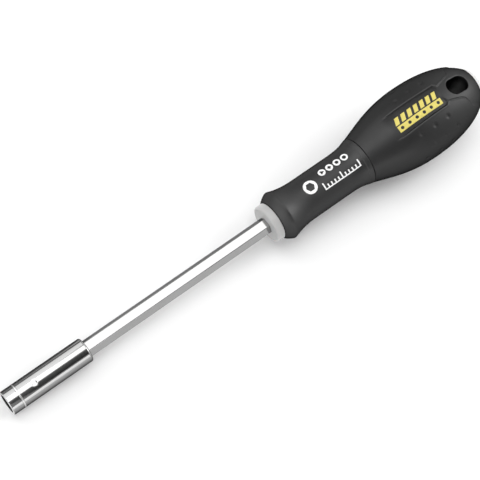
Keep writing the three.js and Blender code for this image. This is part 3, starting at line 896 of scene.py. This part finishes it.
# a patch between a hole with even sides and an outer edge, both as distances at each bearing
def ringPatch(x, s, holeSize, outer, sides=6, count=96, rows=5):
    bearing = evenAngles(count)
    wedge = math.pi / sides
    # a side is its distance from the middle over the cosine of the angle from its foot
    hole = holeSize / np.cos(bearing % (2 * wedge) - wedge)
    share = np.linspace(0, 1, rows)[:, None]
    away = blend(hole, outer(bearing), share)
    return np.stack([x + away * np.cos(bearing), s + away * np.sin(bearing)], -1), True


def roundEdge(size):
    return lambda bearing: np.full_like(bearing, size)


def boxEdge(halfX, halfS):
    return lambda bearing: np.minimum(halfX / np.maximum(np.abs(np.cos(bearing)), 1e-6),
                                      halfS / np.maximum(np.abs(np.sin(bearing)), 1e-6))


neckMarks = {
    "ringX": 137.25, "ringS": -0.5, "ringRadius": 3.05, "ringHole": 1.72,
    "signX": 145.2, "signStep": 3.9, "signS": -3.0, "signRadius": 1.62, "signSides": (3, 4, 5, 6),
    "signHole": 0.36, "signGrow": 0.05,
    "scaleX": 142.0, "scaleS": 4.1, "scaleStep": 1.8, "scaleTicks": 11, "longEvery": 5,
    "tick": 0.62, "shortTick": 1.7, "longTick": 3.0, "baseLow": 0.3, "baseHigh": 0.2,
}


def makeNeckMarks(look):
    line = neckOutline(neckLook)
    edge = roundEdge(look["ringRadius"])
    patches = [ringPatch(look["ringX"], look["ringS"], look["ringHole"], edge)]
    size = look["signRadius"]
    for number, sides in enumerate(look["signSides"]):
        place = look["signX"] + look["signStep"] * number
        hole = size * (look["signHole"] + look["signGrow"] * number)
        patches.append(ringPatch(place, look["signS"], hole, roundEdge(size), sides))
    # a plain length scale: a base line and a tick at each step, with a long one at even intervals
    baseS = look["scaleS"] - look["baseLow"]
    for number in range(look["scaleTicks"]):
        place = look["scaleX"] + look["scaleStep"] * number
        tall = look["longTick"] if number % look["longEvery"] == 0 else look["shortTick"]
        patches.append(barPatch(place, place + look["tick"], look["scaleS"] - tall, baseS))
    last = look["scaleX"] + look["scaleStep"] * (look["scaleTicks"] - 1) + look["tick"]
    patches.append(barPatch(look["scaleX"], last, baseS, look["scaleS"] + look["baseHigh"]))
    printMark("neck_marks", patches, lambda x: np.interp(x, line[:, 0], line[:, 1]), lambda x, a: 0,
              whiteInk, "cap_plastic")


makeNeckMarks(neckMarks)

palmMarks = {
    "startX": 180.6, "endX": 203.4, "barLow": 0.95, "barHigh": 3.85, "cells": 6, "hexagon": 0.72,
    "stripes": 7, "stripeLow": -2.9, "stripeHigh": 0.45, "stripeShare": 0.62, "slant": 1.4,
}


def makePalmMarks(look):
    length = (look["endX"] - look["startX"]) / look["cells"]
    middle = (look["barLow"] + look["barHigh"]) / 2
    edge = boxEdge(length / 2, (look["barHigh"] - look["barLow"]) / 2)
    patches = []
    for n in range(look["cells"]):
        place = look["startX"] + length * (n + 0.5)
        patches.append(ringPatch(place, middle, look["hexagon"], edge))
    pitch = (look["endX"] - look["startX"]) / look["stripes"]
    width = pitch * look["stripeShare"]
    for n in range(look["stripes"]):
        place = look["startX"] + pitch * n + (pitch - width) / 2
        low, high = look["stripeLow"], look["stripeHigh"]
        patches.append(barPatch(place, place + width, low, high, -look["slant"]))
    printMark("palm_marks", patches, lambda x: palmRadius(palmLook, x),
              lambda x, a: palmDepth(palmLook, x, a), yellowInk, "cap_plastic")


makePalmMarks(palmMarks)

# camera: a long lens that looks at the tool from above its tip
cameraLook = {
    "tiltDeg": 16.37, "rollDeg": 13, "imageDeg": 34.56, "distance": 610, "targetX": 102.8,
    "aimRight": -0.585, "aimUp": 0.851, "lens": 113.46, "sensor": 36, "clipStart": 0.01,
}


# directions as the camera sees them: along the tool, across it, and back towards the lens
def toolAxes(look):
    tilt = math.radians(look["tiltDeg"])
    roll = math.radians(look["rollDeg"])
    back = Vector((-math.sin(tilt), -math.cos(tilt) * math.sin(roll), math.cos(tilt) * math.cos(roll)))
    along = (Vector((1, 0, 0)) - back * back.x).normalized()
    return along, back.cross(along), back


# a direction turned from one axis towards another
def swung(first, second, degrees):
    turn = math.radians(degrees)
    return first * math.cos(turn) + second * math.sin(turn)


# where a thing stands, by its own right, up and back
def placing(right, up, back, centre):
    return Matrix([(right[k], up[k], back[k], centre[k]) for k in range(3)] + [(0, 0, 0, 1)])


def makeCamera(look):
    along, across, back = toolAxes(look)
    right = swung(along, -across, look["imageDeg"])
    up = swung(across, along, look["imageDeg"])
    aim = Vector((look["targetX"], 0, 0)) + right * look["aimRight"] + up * look["aimUp"]
    data = bpy.data.cameras.new("camera")
    data.lens = look["lens"]
    data.sensor_width = look["sensor"]
    data.clip_start = look["clipStart"]
    camera = addObject("camera", data)
    camera.matrix_world = placing(right, up, back, (aim + back * look["distance"]) * mm)
    bpy.context.scene.camera = camera


makeCamera(cameraLook)

# studio, in metres: a pale floor that the palm and the socket rest on, lamps round the tool and
# beyond its ends, a bright room and a dark flag
studioLook = {
    "middle": (0.105, 0, 0), "worldLevel": 0.40,
    "endGlow": 0.6, "mirrorGlow": 0.8, "glowStart": 0.42, "glowEnd": 0.7,
    "floorTone": (0.96, 0.98), "floorGrain": 30, "floorHalf": 3, "floorGap": 0.0002, "restX": 0.1949,
    "paperStart": 0.08, "paperEnd": 0.36,
    "darkX": (0.034, 0.028), "darkY": (0.001, 0.003), "darkShare": 0.58,
    "flagDeg": -25, "flagDistance": 0.75, "flagShift": 0.3, "flagReach": 0.14, "flagHalf": 0.3,
    "flagDark": 0.02, "flagPale": 0.14,
    # lamps: degrees round the tool from the camera, shift along it, distance, length, width, level
    "lamps": {"softbox": (24, 0.35, 1.0, 0.8, 0.7, 2.3), "sky_panel": (64, -0.03, 1.0, 0.64, 0.86, 1.5),
              "fill_panel": (-84, -0.07, 0.85, 0.66, 0.9, 1.65)},
    # and one beyond each end: degrees from the camera towards +X, shift across, distance, size, level
    "endLamps": {"butt_lamp": (76, -0.08, 0.9, 0.5, 3.4), "tip_lamp": (-38, 0.12, 1.0, 0.55, 0.5)},
}


def makeFloor(look):
    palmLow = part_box("palm_grip")[0].z
    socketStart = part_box("bit_socket")[0]
    slope = (palmLow - socketStart.z) / (look["restX"] - socketStart.x)
    corner = np.array([[-1, -1], [1, -1], [1, 1], [-1, 1]], float) * look["floorHalf"]
    height = palmLow + slope * (corner[:, 0] - look["restX"]) - look["floorGap"]
    floor = surfaceMesh("floor", np.column_stack([corner, height]) / mm, [np.arange(4)])

    # mirror rays see a darker floor behind the socket, which gives the chrome its dark edge
    def paint(place):
        paper = place.noise(look["floorGrain"]).between(*look["floorTone"])
        behind = place.axis("Y").within(*look["darkY"]) * place.axis("X").within(*look["darkX"])
        return {"Base Color": paper - place.ray("Is Glossy Ray") * behind * look["darkShare"]}
    material = finish("floor_paper", {"Roughness": 0.9, "Specular IOR Level": 0.1}, paint)
    floor.data.materials.append(material)
    # further off the camera sees plain white paper, but the tool is still lit by the paper as it is
    tree = material.node_tree
    place = Shade(tree).node("TexCoord", None, None, "Object")
    away = place.vector("DISTANCE", look["middle"])
    share = place.ray("Is Camera Ray") * away.within(look["paperStart"], look["paperEnd"])
    near = Shade(tree, tree.nodes["Principled BSDF"].outputs[0])
    plain = place.node("Emission", None, {"Color": grey(1), "Strength": 1})
    both = place.node("MixShader", None, {0: share, 1: near, 2: plain})
    tree.links.new(both.socket, tree.nodes["Material Output"].inputs[0])


# a soft lamp: its level is how bright it looks, so its power is that level times pi times its area
def makeLamp(name, level, centre, target, width, height, upright):
    data = bpy.data.lights.new(name, "AREA")
    data.shape = "RECTANGLE"
    data.size = width
    data.size_y = height
    data.energy = level * math.pi * width * height
    back = (centre - target).normalized()
    right = upright.cross(back).normalized()
    addObject(name, data).matrix_world = placing(right, back.cross(right), back, centre)


def makeLamps(look):
    along, across, back = toolAxes(cameraLook)
    middle = Vector(look["middle"])
    for name, (degrees, shift, distance, length, width, level) in look["lamps"].items():
        direction = swung(back, across, degrees)
        target = middle + along * shift
        upright = back.cross(direction).cross(direction) * -1
        makeLamp(name, level, target + direction * distance, target, length, width, upright)
    for name, (degrees, shift, distance, size, level) in look["endLamps"].items():
        centre = middle + swung(back, along, degrees) * distance + across * shift
        makeLamp(name, level, centre, middle, size, size, across)


# the room is brighter beyond both ends of the tool, more so in mirrors, and plain white to the camera
def makeRoom(look):
    world = bpy.data.worlds.new("studio")
    world.use_nodes = True
    place = Shade(world.node_tree).node("TexCoord", None, None, "Generated")
    glow = look["endGlow"] + look["mirrorGlow"] * place.ray("Is Glossy Ray")
    level = look["worldLevel"] + glow * abs(place.axis("X")).within(look["glowStart"], look["glowEnd"])
    seen = place.ray("Is Camera Ray").mix(level, grey(1))
    world.node_tree.links.new(seen.socket, world.node_tree.nodes["Background"].inputs["Color"])
    bpy.context.scene.world = world


def makeFlag(look):
    along, across, back = toolAxes(cameraLook)
    direction = swung(back, across, look["flagDeg"])
    centre = Vector(look["middle"]) + direction * look["flagDistance"] + along * look["flagShift"]
    side = direction.cross(along).normalized()
    half = look["flagHalf"]
    u = along * look["flagReach"]
    v = side * half
    corners = np.array([centre - u - v, centre + u - v, centre + u + v, centre - u + v])
    flag = surfaceMesh("dark_flag", corners / mm, [np.arange(4)])

    # the card is painted from dark to paler across its width
    def paint(place):
        middle = centre.dot(side)
        share = place.vector("DOT_PRODUCT", side).within(middle - half, middle + half)
        return {"Base Color": share.between(look["flagDark"], look["flagPale"])}
    flag.data.materials.append(finish("black_felt", {"Roughness": 1, "Specular IOR Level": 0}, paint))


makeFloor(studioLook)
makeLamps(studioLook)
makeRoom(studioLook)
makeFlag(studioLook)
bpy.context.scene.view_settings.view_transform = "Standard"
print("studio ready")
